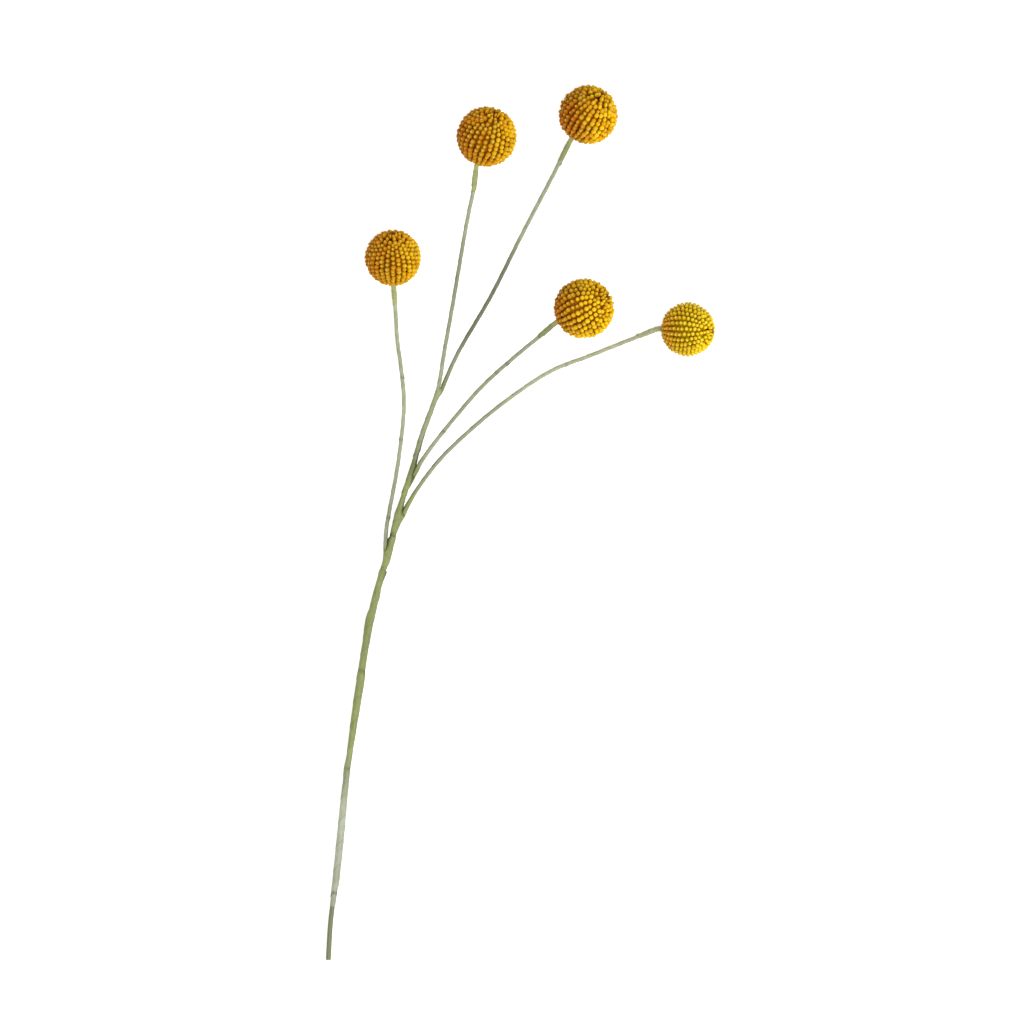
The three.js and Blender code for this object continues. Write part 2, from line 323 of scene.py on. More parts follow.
def new_finish(name, roughness):
    """A material with its shader, and where on the object each point is."""
    material = bpy.data.materials.new(name)
    material.use_nodes = True
    shader = material.node_tree.nodes["Principled BSDF"]
    shader.inputs["Roughness"].default_value = roughness
    where = add_node(material.node_tree, "ShaderNodeTexCoord").outputs["Object"]
    return material, material.node_tree, shader, where


def blend(tree, share, first, second):
    """Mixes two colours."""
    return add_node(tree, "ShaderNodeMix", {0: share, 6: first, 7: second}, data_type="RGBA").outputs[2]


def ramp(tree, value, low, high, to_low=0.0, to_high=1.0):
    """Stretches a value from low..high to another range, and holds it there. High may be below low."""
    inputs = {0: value, 1: low, 2: high, 3: to_low, 4: to_high}
    return add_node(tree, "ShaderNodeMapRange", inputs).outputs[0]


def cloud(tree, where, size, detail=3.0, stretch=None):
    """Soft random patches about a size across, most of them between 0.3 and 0.7."""
    if stretch:
        where = add_node(tree, "ShaderNodeMapping", {"Vector": where, "Scale": stretch}).outputs[0]
    return add_node(tree, "ShaderNodeTexNoise",
                    {"Vector": where, "Scale": 1 / size, "Detail": detail}).outputs["Fac"]


def spread(tree, patches, low=0.0, high=1.0):
    """Stretches what most of a cloud has to low..high."""
    return ramp(tree, patches, 0.3, 0.7, low, high)


def read_mark(tree, name, output="Fac"):
    return add_node(tree, "ShaderNodeAttribute", attribute_name=name).outputs[output]


def dress(shader, colour, roughness, grain, depth):
    """Gives a shader its colour, its roughness and a bump, depth metres high where the grain is 1."""
    tree = shader.id_data
    bump = add_node(tree, "ShaderNodeBump", {"Strength": 1.0, "Distance": depth, "Height": grain}).outputs[0]
    for name, value in (("Base Color", colour), ("Roughness", roughness), ("Normal", bump)):
        tree.links.new(value, shader.inputs[name])


def rod_finish():
    material, tree, shader, where = new_finish("rod_coat", roughness=0.5)
    patches = cloud(tree, where, size=0.004)
    coat = blend(tree, patches, paint(92, 97, 64), paint(113, 118, 82))
    # The cut face and its rim have lost the coat's colour.
    worn = ramp(tree, read_mark(tree, "run"), 0.00005, 0.0012, 0.45, 0.0)
    colour = blend(tree, worn, coat, paint(150, 152, 128))
    cut = tuple(part * MM for part in STEM[0])
    from_cut = reckon_vector(tree, "LENGTH", reckon_vector(tree, "SUBTRACT", where, cut))
    wire = ramp(tree, from_cut, WIRE_R * MM, (WIRE_R + WIRE_EDGE) * MM, 1.0, 0.0)
    colour = blend(tree, wire, colour, paint(150, 150, 146))
    tree.links.new(wire, shader.inputs["Metallic"])
    dress(shader, colour, spread(tree, patches, 0.42, 0.6), cloud(tree, where, size=0.0006), depth=0.00006)
    return material


stem_line = smooth_line(STEM)
rod_end = length_of(stem_line) - LEADER_LAP
rod_girth = [(0, ROD_STUB_R - CUT_BEVEL), (CUT_BEVEL, ROD_STUB_R), (STUB_THINS[0], ROD_STUB_R - 0.05),
             (STUB_THINS[1], ROD_FOOT_R), (rod_end, ROD_TOP_R)]
rod_route = route("rod_route", stem_line, 0, rod_end, rod_girth)
rod = grow(DRAWN_WIRE, "coated_rod", rod_route,
           {"Sides": 24, "Ring Spacing": 1.5 * MM, "Finish": rod_finish()})
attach(rod, "root")
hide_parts("stem_rod")


# The foot wrap: florist's tape, a waxed crepe 12 mm wide, wound up the rod in a steep spiral so that
# each turn laps over the one below. It starts thin, swells where it was doubled, and its winder left
# a step where one length of tape ran out. The lower part has faded to a pale grey-green.
FOOT_WRAP = (35.5, 259.3)
FOOT_GIRTH = [
    (35, 1.8), (44, 1.9), (54, 2.12), (72, 2.2), (93, 2.12), (113, 1.98), (131, 1.6), (153, 2.05),
    (173, 2.35), (189.5, 2.35), (191.5, 2.17), (213, 2.17), (233, 2.22), (248, 2.17), (253, 2.2),
    (256, 2.55), (258.3, 2.75), (260, 2.6)]
FOOT_LEAN = [
    (76, 0), (78, 0.3), (81, 0), (84, -0.1), (89, 0.4), (92, 0), (117, 0), (122, -0.25), (127, -0.6),
    (131, -0.45), (134, 0), (150, 0), (176, 0.25), (189.5, 0.45), (191.5, 0), (211, 0), (214, -0.5),
    (218, -0.65), (223, -0.9), (227, -1.0), (230, -0.6), (233, 0), (238, 0), (241.5, 0.45), (246, 0)]
FOOT_SPOTS = [44.5, 127.0, 192.0]
FOOT_SHADE = [
    (35.5, 0.42), (41, 0.3), (46, 0), (54, 0.3), (66, 0.13), (75, 0.05), (90, 0.05), (104, 0.03),
    (118, 0.17), (128, 0.14), (140, 0), (160, 0), (185, 0.06), (203, 0.12), (213, 0.23), (224, 0.13),
    (235, 0.12), (252, 0.1), (260, 0.05)]
# Painted shade on the right side of the wrap, darker at two of its dark marks and at its flared top end.
FOOT_SIDE_SHADE = [(40, 0), (44.5, 1.2), (49, 0.2), (130, 0.2), (150, 0), (188, 0), (191, 1.0), (194, 0),
              (251, 0), (254, 1.3), (259, 1.6)]


def wound_tape():
    """A core with a strip of tape wound round it. Each turn's lower edge lies on the turn below."""
    strip_sides, half_strip = 40, 0.501  # half the tape and a hair, so that its edges come out straight
    layer_room = 1.15  # how much higher than its layers a turn stands, so that none shows through
    peel = 1.2  # how far round the core the loose end has come off, in radians
    tree, given, result = new_tree(
        "wound tape",
        {"Geometry": ["Route"], "Int": ["Sides"], "Material": ["Finish"],
         "Float": ["Tape Width", "Turn Advance", "Tape Thickness", "Steps per Turn", "First Angle",
                   "Loose End", "Crumple", "Crumple Size", "Seed", "Ring Spacing"]},
        {"Geometry": ["Piece"]})

    def pressed_flat(part, reach):
        inputs = {0: product(tree, part, half_strip / reach), 1: -0.5, 2: 0.5}
        return add_node(tree, "ShaderNodeClamp", inputs).outputs[0]

    curve, length = route_curve(tree, given["Route"])
    wound = less(tree, length, given["Tape Width"])
    turns = ratio(tree, wound, given["Turn Advance"])
    steps = reckon(tree, "CEIL", product(tree, turns, given["Steps per Turn"]))
    strip, (x, y, z) = blank_tube(tree, strip_sides, steps)
    # The round section is pressed flat: across runs over the tape's width, level over its thickness.
    corner = 2 * math.pi / strip_sides
    across, level = pressed_flat(x, math.cos(corner)), pressed_flat(y, math.sin(corner))
    wound_share = total(tree, z, 0.5)
    turned = product(tree, wound_share, turns, 2 * math.pi)
    angle = total(tree, turned, given["First Angle"])
    half_up = total(tree, across, 0.5)
    distance = total(tree, product(tree, wound_share, wound), product(tree, half_up, given["Tape Width"]))
    # The lower edge is lifted over the layers beneath it, and stands off where its end has come loose.
    layers = product(tree, ratio(tree, given["Tape Width"], given["Turn Advance"]), layer_room)
    lift = product(tree, less(tree, 0.5, across), layers)
    stand_off = product(tree, total(tree, lift, level, 0.5), given["Tape Thickness"])
    loose = reckon(tree, "MAXIMUM", less(tree, 1.0, ratio(tree, turned, peel)), 0.0)
    peeled = product(tree, loose, less(tree, 1.0, half_up))
    curl = product(tree, reckon(tree, "POWER", peeled, 2.0), given["Loose End"])
    stand_off = total(tree, stand_off, curl)
    mesh = lay_on_route(tree, strip, curve, distance, angle, stand_off, half_up)
    core = add_node(tree, "GeometryNodeGroup",
                    {name: given[name] for name in ("Route", "Sides", "Ring Spacing")}, node_tree=DRAWN_WIRE)
    both = add_node(tree, "GeometryNodeJoinGeometry")
    tree.links.new(mesh, both.inputs[0])
    tree.links.new(core.outputs[0], both.inputs[0])
    # The whole piece is crumpled as one, so that no layer pokes through another.
    swirl = add_node(
        tree, "ShaderNodeTexNoise", noise_dimensions="4D",
        inputs={"W": given["Seed"], "Scale": ratio(tree, 1.0, given["Crumple Size"]), "Detail": 1.0},
    ).outputs["Color"]
    either_way = reckon_vector(tree, "SUBTRACT", swirl, (0.5, 0.5, 0.5))
    push = reckon_vector(tree, "SCALE", either_way, given["Crumple"])
    mesh = treat(tree, "SetPosition", both.outputs[0], {"Offset": push})
    tree.links.new(finish_off(tree, mesh, given["Finish"]), result["Piece"])
    return tree


WOUND_TAPE = wound_tape()


def tape_finish(name, colours, faded=None, green_foot=None):
    """Waxed crepe tape in a darker and a lighter colour, in faded ones below the fade line, and in the
    olive ones of the stem up to where the green foot of a stalk fades out."""
    material, tree, shader, where = new_finish(name, roughness=0.62)
    patches = cloud(tree, where, size=0.006)
    streaks = cloud(tree, where, size=0.0009, detail=2.0, stretch=(1.0, 0.22, 1.0))
    mottle = spread(tree, blend(tree, 0.5, patches, streaks))
    colour = blend(tree, mottle, *colours)
    if green_foot:
        green = ramp(tree, read_mark(tree, "run"), green_foot[0] * MM, green_foot[1] * MM, 1.0, 0.0)
        colour = blend(tree, green, colour, blend(tree, mottle, *OLIVE_TAPE))
    if faded:
        wobble = spread(tree, cloud(tree, where, size=0.018), -0.006, 0.006)
        height = total(tree, split(tree, where)["Y"], wobble)
        fresh = ramp(tree, height, FADE_LINE[0] * MM, FADE_LINE[1] * MM)
        colour = blend(tree, fresh, blend(tree, mottle, *faded), colour)
    # The lower edge of each turn is a dark line: painted shadow under the lapping edge, and dust settled in
    # the wax.
    edge = ramp(tree, read_mark(tree, "across"), 0.0, 0.05, 0.45, 0.0)
    colour = blend(tree, edge, colour, paint(78, 82, 52))
    # Painted shade in creases, on shaded sides and under lapping edges, with some dark spots.
    shade_and_marks = ramp(tree, read_mark(tree, "shade_and_spots"), 0.0, 1.2, 0.0, 0.92)
    colour = blend(tree, shade_and_marks, colour, paint(44, 50, 16))
    dress(shader, colour, spread(tree, patches, 0.52, 0.72), streaks, depth=0.0002)
    return material


FADE_LINE = (-196.0, -148.0)
OLIVE_TAPE = (paint(108, 116, 62), paint(140, 148, 88))
stem_tape = tape_finish("stem_tape", OLIVE_TAPE, faded=(paint(142, 147, 124), paint(174, 178, 158)))


def shade_with_spots(shade, marks, start, stop, step=0.6):
    """A table of the shade from start to stop, with a dark spot at each mark."""
    dark = spots(marks, reach=1.3, amounts=[0.7])
    return [(distance, along(shade, distance) + along(dark, distance))
            for distance in np.arange(start, stop, step)]


foot_shade_and_spots = shade_with_spots(FOOT_SHADE, FOOT_SPOTS, *FOOT_WRAP)
foot_route = route("foot_route", stem_line, *FOOT_WRAP, FOOT_GIRTH, FOOT_LEAN, foot_shade_and_spots, FOOT_SIDE_SHADE)
# The tape's width and the advance of a turn are both measured along the stem.
TAPE_SETTINGS = {
    "Tape Width": 19 * MM, "Turn Advance": 16 * MM, "Tape Thickness": 0.15 * MM, "Steps per Turn": 24.0,
    "Crumple": 0.25 * MM, "Crumple Size": 3 * MM, "Sides": 20, "Ring Spacing": 1 * MM, "Finish": stem_tape}
foot_wrap = grow(WOUND_TAPE, "foot_wrap", foot_route, TAPE_SETTINGS | {"Seed": 1.0, "First Angle": 0.6})
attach(foot_wrap, "root")
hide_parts("wrap_foot")


# The stalks: five thinner wires covered in the same tape. Four are bound beside the rod with their
# thin end down, and the second carries on from the rod's end. Each runs up into its head.
STALK_TIP_R = 0.25
BARE_STALK = 1.12  # a stalk's radius under its tape
FLORET_DEPTH, SOCKET_DEPTH, NECK_STRAIGHT, GAP = 3.4, 5.3, 2.5, 0.3
# Of each: the side of the rod that it is bound to (-1 is left), how far beside the rod's line it is at
# each distance, where the two part and where the web of tape between them ends, its radius there, how
# far up its foot stays green, its dark spots in pixels, its shade, its painted shade on one side (in
# the crease by the rod and along a shaded side), its free path, and its head.
SPRAY = {
    1: {"side": -1, "beside": [(262, 1.2), (267.5, 1.8), (271.5, 2.4), (274.5, 3.4), (278, 4.0)],
        "crotch": 272.5, "web": 280.5, "foot_r": 1.12, "green": (8, 18),
        "spots": [(388.1, 517.9), (401, 377), (401.5, 439)],
        "shade": [(0, 0.25), (30, 0.35), (55, 0.3), (75, 0.1), (95, 0.06), (112, 0), (125, 0.1),
                  (132, 0.15), (145, 0)],
        "side_shade": [(8, 0), (12, 1.3), (20, 1.2), (26, 0.5), (60, 0.4), (90, 0)],
        "path": [(-88.1, -6.6, 10.7), (-86.9, 2, 10.5), (-79.8, 41.5, 8.5), (-76.2, 78, 6.5), (-78, 101, 5),
                 (-80.6, 120.2, 4.2), (-81.8, 140, 3.4)],
        "head": (-83.3, 174.1), "radius": 18.3, "clearance": 0, "heading": 91, "rise": 30},
    2: {"side": 0, "beside": [(rod_end + GAP, 0), (length_of(stem_line), 0)],
        "green": None, "spots": [(473, 186)], "side_shade": [(0, 0)],
        "shade": [(0, 0.1), (40, 0.35), (80, 0.5), (100, 0.4), (125, 0.1), (150, 0.15)],
        "path": [(-49.8, 112, 15), (-44.6, 141, 15.5), (-34.6, 199, 15.5), (-30.5, 219, 16.5)],
        "head": (-21.8, 253.2), "radius": 19.6, "clearance": 12, "heading": 70, "rise": 30},
    3: {"side": 1, "beside": [(377, 1.7), (380.5, 2.1), (384, 2.6)],
        "crotch": 385.0, "web": 387.0, "foot_r": 1.2, "green": (10, 25), "spots": [],
        "side_shade": [(6, 0), (9, -1.4), (13, -0.6), (30, 0)],
        "shade": [(0, 0.3), (12, 0.4), (30, 0.55), (48, 0.9), (100, 0.84), (120, 0.3), (134, 0.2),
                  (145, 0.26), (170, 0.2)],
        "path": [(-41.7, 109.8, 14.5), (-18.7, 149.8, 12), (1, 189, 8.5), (21.5, 228.2, 5)],
        "head": (44.7, 268), "radius": 19.1, "clearance": 0, "heading": 55, "rise": 28},
    4: {"side": 1, "beside": [(315, 1.4), (321, 1.85), (324, 2.15), (328.5, 3.0), (333, 3.75)],
        "crotch": 324.0, "web": 331.0, "foot_r": 1.35, "green": (14, 26),
        "spots": [(442.9, 429.6), (506, 363), (496, 371)],
        "shade": [(0, 0.2), (40, 0.22), (60, 0.38), (130, 0.38)],
        "side_shade": [(7, 0), (10, -0.9), (19, -0.4), (24, 0)],
        "path": [(-57.5, 50.9, 14.5), (-41.8, 70.5, 17), (-24.5, 90.1, 20), (-2.6, 109.8, 23.5),
                 (12.6, 122.3, 26)],
        "head": (41.9, 140.5), "radius": 19.4, "clearance": 18, "heading": 26, "rise": 25},
    5: {"side": 1, "beside": [(284, 1.3), (289, 1.85), (293.7, 2.45), (298, 3.15)],
        "crotch": 298.5, "web": 302.5, "foot_r": 1.48, "green": (26, 48), "spots": [(567, 364)],
        "shade": [(0, 0), (25, 0.05), (45, 0.33), (75, 0.3), (100, 0.37), (130, 0.02)],
        "side_shade": [(12, 0), (15, -1.5), (22, -0.9), (44, -0.7), (50, -1.3), (60, -1.3), (68, -0.5),
                  (100, -0.4), (120, 0)],
        "path": [(-74.4, 10.6, 12), (-67.8, 21.8, 11.5), (-53.2, 41.1, 10.5), (-33.2, 60.6, 9.5),
                 (-9, 80.5, 8.5), (20.7, 100.1, 7), (46.2, 110.1, 5.5), (75.1, 121.6, 4.2)],
        "head": (110.2, 127.1), "radius": 17.4, "clearance": 0, "heading": -2.5, "rise": 22},
}
PIXEL_ORIGIN, MM_PER_PIXEL = (520.0, 523.2), 0.656


def facing(branch):
    """The way that a head faces: turned by its heading from +X towards +Y, and tipped up by its rise."""
    turn, tip = math.radians(branch["heading"]), math.radians(branch["rise"])
    return np.array([math.cos(tip) * math.cos(turn), math.cos(tip) * math.sin(turn), math.sin(tip)])


def middle(branch):
    return np.array([*branch["head"], branch["radius"] + branch["clearance"]])


def stalk_foot(branch):
    """Where a bound stalk's thin end is along the stem, and how long the stalk is bound there."""
    start = branch["beside"][0][0]
    return start, branch["crotch"] - start


def stalk_line(branch):
    bound = []
    for distance, away in branch["beside"]:
        place, right = station(stem_line, distance)
        bound.append(place + right * branch["side"] * away)
    depth = branch["radius"] - FLORET_DEPTH - GAP - SOCKET_DEPTH
    in_head = [branch["radius"] + NECK_STRAIGHT, branch["radius"] - FLORET_DEPTH / 2, depth]
    return smooth_line([*bound, *branch["path"], *[middle(branch) - facing(branch) * off for off in in_head]])


def from_pixel(pixel):
    """The X and Y of a pixel, in millimetres."""
    return (pixel[0] - PIXEL_ORIGIN[0]) * MM_PER_PIXEL, (PIXEL_ORIGIN[1] - pixel[1]) * MM_PER_PIXEL


def distance_near(line, pixel):
    """How far along a line its nearest point is to a place given in pixels."""
    x, y = from_pixel(pixel)
    nearest = int(np.argmin(np.hypot(line[:, 0] - x, line[:, 1] - y)))
    return nearest / (len(line) - 1) * length_of(line)


STALK_COLOURS = (paint(134, 139, 108), paint(170, 174, 144))
SWELLING = [(34, 0), (28, 0.06), (20, 0)]  # so far back from its upper end a stalk is so much thicker
lines = {number: stalk_line(branch) for number, branch in SPRAY.items()}
for number, branch in SPRAY.items():
    line = lines[number]
    end = length_of(line)
    girth = [(end - back, BARE_STALK + more) for back, more in SWELLING]
    if branch["side"]:
        tuck = stalk_foot(branch)[1]
        girth = [(0, STALK_TIP_R), (tuck - 1, branch["foot_r"]), (tuck + 3, branch["foot_r"]),
                 (tuck + 16, BARE_STALK), *girth]
    marks = [distance_near(line, pixel) for pixel in branch["spots"]]
    lumps = spots(marks, reach=2, amounts=[0.3, -0.3])
    stalk_route = route(f"stalk_route_{number}", line, 0, end, girth, lumps,
                        shade_with_spots(branch["shade"], marks, 0, end), branch["side_shade"])
    stalk_tape = tape_finish(f"stalk_tape_{number}", STALK_COLOURS, green_foot=branch["green"])
    settings = TAPE_SETTINGS | {
        "Tape Width": 14 * MM, "Turn Advance": 11.5 * MM, "Tape Thickness": 0.12 * MM, "Steps per Turn": 18.0,
        "Crumple": 0.16 * MM, "Crumple Size": 2.6 * MM, "Sides": 14, "Ring Spacing": 1.2 * MM,
        "Seed": 10.0 + number, "First Angle": 1.3 * number, "Finish": stalk_tape}
    stalk = grow(WOUND_TAPE, f"taped_stalk_{number}", stalk_route, settings)
    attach(stalk, "root")
    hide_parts(f"stalk_{number}")


# The joint wraps: one length of tape for each bound stalk, wound over the rod and the stalk's thin
# end together. The stem bulges on that side up to the crotch, where the wires part; painted shade
# darkens the crease there and the stem's shaded side. Each wrap's upper end is tucked under the next,
# but the foot wrap laps over the first.
JOINT_WRAPS = {
    1: {"span": (257.8, 282.4), "loose": 0.3,
        "girth": [(257, 1.75), (262, 2.05), (268, 2.15), (274, 1.98), (278, 2.05), (281, 2.25), (282.4, 2.1)],
        "side_shade": [(270, 0), (272.5, -1.2), (276, -2.0)],
        "shade": [(273, 0), (275, 0.1), (281, 0)]},
    5: {"span": (281.2, 311.0), "loose": 0.35,
        "girth": [(281, 1.9), (286, 2.0), (291, 1.98), (295, 2.1), (298, 2.45), (299.5, 2.05), (303, 1.7),
                  (310, 1.65), (311, 1.3)],
        "side_shade": [(281, -0.6), (287, -0.5), (290, 0), (296, 0), (298.5, 1.4), (303, 2.0), (308, 0.3),
                  (311, 0)],
        "shade": [(281.2, 0.8), (283.5, 0.6), (285.5, 0.05), (297, 0), (300, 0.12), (304, 0)]},
    4: {"span": (310.0, 336.0), "loose": 0.1,
        "girth": [(310, 1.85), (314, 1.8), (323, 1.6), (330, 1.6), (335, 1.75), (336, 1.6)],
        "side_shade": [(316, 0), (322, 1.8), (326, 3.0)],
        "shade": [(319, 0), (323, 0.15), (325, 0.45), (332, 0.55), (336, 0.45)]},
    3: {"span": (335.0, 385.7), "loose": 0.1,
        "girth": [(335, 1.75), (339, 1.62), (350, 1.52), (368, 1.47), (378, 1.35), (386, 1.2)],
        "side_shade": [(335, 3.0), (342, 2.3), (350, 1.1), (364, 0), (383, 0), (385, 1.5)],
        "shade": [(335, 0.45), (339, 0.35), (345, 0.12), (354, 0), (384, 0), (386, 0.1)]}}
BULGE_RUN_IN = 2.5  # how far below a stalk's foot the bulge over it starts
BITE = 0.1  # how far the tape bites into the stalk
WEB_TUCK, WEB_RUN = 0.72, 1.5  # the share of a stalk's radius that the web is tucked under, and its slope
upper_tape = tape_finish("upper_tape", (paint(120, 126, 84), paint(150, 155, 118)))
for number, wrap in JOINT_WRAPS.items():
    branch = SPRAY[number]
    foot, tuck = stalk_foot(branch)
    crotch, web, foot_r = branch["crotch"], branch["web"], branch["foot_r"]
    taper = (foot_r - STALK_TIP_R) / tuck
    covered = [(distance, STALK_TIP_R + taper * (distance - foot) - BITE)
               for distance in np.linspace(foot, crotch, 6)]
    # Between the crotch and the end of the web the tape spans the gap, and is tucked under the stalk.
    covered += [(distance, -WEB_TUCK * foot_r) for distance in (crotch + WEB_RUN, web)]
    lean = [(foot - BULGE_RUN_IN, 0)]
    for distance, beyond in covered:
        bulge = along(branch["beside"], distance) + beyond - along(wrap["girth"], distance)
        lean.append((distance, branch["side"] * max(bulge, 0)))
    lean.append((web + WEB_RUN, 0))
    wrap_route = route(f"wrap_route_{number}", stem_line, *wrap["span"], wrap["girth"], lean,
                       wrap["shade"], wrap["side_shade"])
    settings = TAPE_SETTINGS | {
        "Tape Width": 11 * MM, "Turn Advance": 8.5 * MM, "Ring Spacing": 0.6 * MM, "Steps per Turn": 36.0,
        "Loose End": wrap["loose"] * MM, "Seed": 20.0 + number, "First Angle": 1.4 + 0.1 * number,
        "Finish": upper_tape if number == 3 else stem_tape}
    taped = grow(WOUND_TAPE, f"joint_wrap_{number}", wrap_route, settings)
    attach(taped, "root")
    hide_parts(f"wrap_joint_{number}")


# The necks: a sleeve of greener tape on each stalk just below its head. It runs in between the
# florets up to the receptacle, is thickest half way down, and thins out over the stalk.
# Of each: how much of it shows below its florets, its radius at its foot and its top, and its shade.
NECKS = {1: (17, 1.2, 1.4, 0.0), 2: (21, 1.4, 1.2, 0.15), 3: (22, 1.2, 1.25, 0.45),
         4: (18, 1.4, 1.4, 0.55), 5: (19, 1.2, 1.4, 0.05)}
NECK_WIDEST_R = 1.5
neck_tape = tape_finish("neck_tape", (paint(130, 137, 82), paint(166, 170, 108)))
pale_neck_tape = tape_finish("pale_neck_tape", (paint(130, 137, 98), paint(168, 172, 132)))
for number, line in lines.items():
    showing, foot_r, top_r, shade = NECKS[number]
    top = length_of(line) - SOCKET_DEPTH - GAP
    mouth = top - FLORET_DEPTH
    foot = mouth - showing
    girth = [(foot, foot_r), (foot + 5, foot_r + 0.15), (mouth - 9, NECK_WIDEST_R), (mouth - 4, top_r)]
    neck_darkening = [(foot, shade + 0.35), (foot + 1.5, shade), (mouth - 8, shade), (mouth - 2, 0)]
    neck_route = route(f"neck_route_{number}", line, foot, top, girth, shade_and_marks=neck_darkening)
    settings = TAPE_SETTINGS | {
        "Tape Width": 7 * MM, "Turn Advance": 4.5 * MM, "Loose End": (0.9 if number == 5 else 0.4) * MM,
        "Seed": 30.0 + number, "First Angle": 2.0 * number,
        "Finish": pale_neck_tape if number == 5 else neck_tape}
    neck = grow(WOUND_TAPE, f"neck_sleeve_{number}", neck_route, settings)
    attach(neck, "root")
    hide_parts(f"neck_{number}")


# The receptacles: balls of light foam dipped in dull brown-olive paint, which dries uneven and is dark
# red-brown in the eye at the top, a redder dye with painted shade in the dimple. The stalk is glued
# into each, and the ball shows only deep in the grooves.
def receptacle_finish(name, dark, light):
    material, tree, shader, where = new_finish(name, roughness=0.85)
    shader.inputs["Specular IOR Level"].default_value = 0.1
    patches = cloud(tree, where, size=0.004)
    colour = blend(tree, ramp(tree, patches, 0.35, 0.65), dark, light)
    # The eye at the top of the ball is dark red-brown: a redder dye with painted shade in the dimple.
    colour = blend(tree, ramp(tree, read_mark(tree, "eye"), 0.96, 0.985), colour, paint(96, 34, 6))
    grain = cloud(tree, where, size=0.0005)
    dress(shader, colour, spread(tree, grain, 0.78, 0.95), grain, depth=0.0002)
    return material


brown_ground = receptacle_finish("brown_ground", paint(146, 80, 2), paint(176, 110, 4))
green_ground = receptacle_finish("green_ground", paint(150, 118, 1), paint(184, 152, 4))
BROAD_DIPS, FINE_DIPS = (7, 0.25), (21, 0.12)  # how close together they are, and how deep
for number, branch in SPRAY.items():
    ball = bmesh.new()
    radius = branch["radius"] - FLORET_DEPTH - GAP
    centre = Vector(middle(branch) * MM)
    bmesh.ops.create_icosphere(ball, subdivisions=5, radius=radius * MM)
    for vertex in ball.verts:
        way = vertex.co.normalized()
        broad = noise.noise(way * BROAD_DIPS[0] + Vector((number, 0, 0))) * BROAD_DIPS[1]
        fine = noise.noise(way * FINE_DIPS[0]) * FINE_DIPS[1]
        vertex.co = way * (radius + broad + fine) * MM + centre
    for face in ball.faces:
        face.smooth = True
    mesh = bpy.data.meshes.new(f"foam_ball_{number}")
    ball.to_mesh(mesh)
    ball.free()
    mesh.materials.append(green_ground if number == 5 else brown_ground)
    top = Vector(facing(branch))
    mark_points(mesh, "eye", [max((vertex.co - centre).normalized().dot(top), 0) for vertex in mesh.vertices])
    receptacle = new_object(f"foam_ball_{number}", mesh)
    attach(receptacle, "root")
    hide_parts(f"receptacle_{number}")


# The florets: small moulded drops pressed into the ball one beside another, in 28 rows from the
# dimple at its top to the neck. Neighbouring rows are half a drop apart, so that they interlock. They
# are dyed gold and brown at their feet, the brown partly painted shade, with painted light and shade
# across each head.
FLORETS_PROUD = {1: 0.6, 2: 0.6, 3: 0.85, 4: 0.9, 5: 0.85}  # how far they stand out past a head's radius


